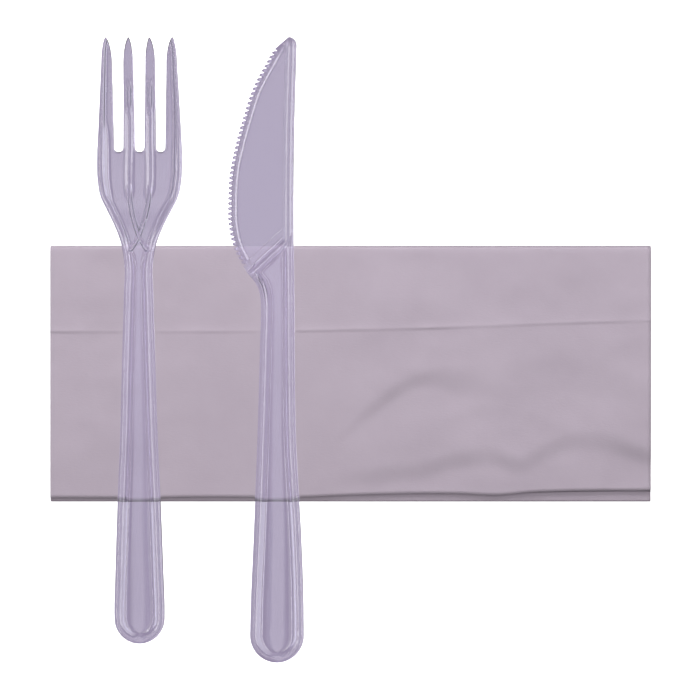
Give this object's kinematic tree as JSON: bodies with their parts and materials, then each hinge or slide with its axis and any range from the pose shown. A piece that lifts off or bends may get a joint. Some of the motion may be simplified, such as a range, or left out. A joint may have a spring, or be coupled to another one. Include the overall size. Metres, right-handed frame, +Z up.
{
  "type": "plastic cutlery pack",
  "caption": "Clear moulded fork and serrated knife lying side by side across a folded paper tissue napkin, as laid out for one meal.",
  "frame": {"origin": "middle of the pack's footprint, on the surface that it lies on", "axes": "+Y along the cutlery towards the tine tips and the blade's nose, +X along the napkin's long side from the fork to the knife, +Z up"},
  "size_m": [0.179, 0.1863, 0.0114],
  "materials": {
    "clear_polystyrene": "clear lilac-tinted injection-moulded polystyrene, glossy",
    "tissue": "dyed two-ply tissue, matt, softly wrinkled"
  },
  "bodies": {
    "root": {"fork": "clear_polystyrene", "knife": "clear_polystyrene", "napkin": "tissue"}
  },
  "joints": []
}
